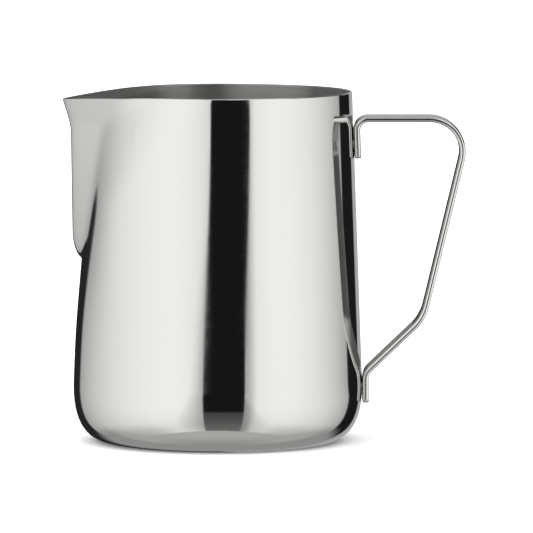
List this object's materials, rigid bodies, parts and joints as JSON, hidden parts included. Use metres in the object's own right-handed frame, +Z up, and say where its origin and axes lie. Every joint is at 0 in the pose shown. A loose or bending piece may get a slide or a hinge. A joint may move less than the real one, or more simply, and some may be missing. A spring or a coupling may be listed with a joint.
{
  "type": "milk frothing pitcher",
  "caption": "Polished steel milk jug with tapered wall, rounded base, pressed V spout and a bent flat-strap handle spot welded at two tabs.",
  "frame": {"origin": "centre of the flat resting ring under the base", "axes": "+Z up, +X towards the handle, -X towards the spout, XZ is the mirror plane"},
  "size_m": [0.1264, 0.0908, 0.11],
  "materials": {
    "jug_steel": "mirror polished outside, fine circumferential brushing inside",
    "handle_steel": "tumbled and polished flat bar",
    "weld_steel": "fused spot weld"
  },
  "bodies": {
    "root": {"jug_body": "jug_steel", "handle": "handle_steel", "weld_nugget_upper_left": "weld_steel", "weld_nugget_upper_right": "weld_steel", "weld_nugget_lower_left": "weld_steel", "weld_nugget_lower_right": "weld_steel"}
  },
  "joints": []
}
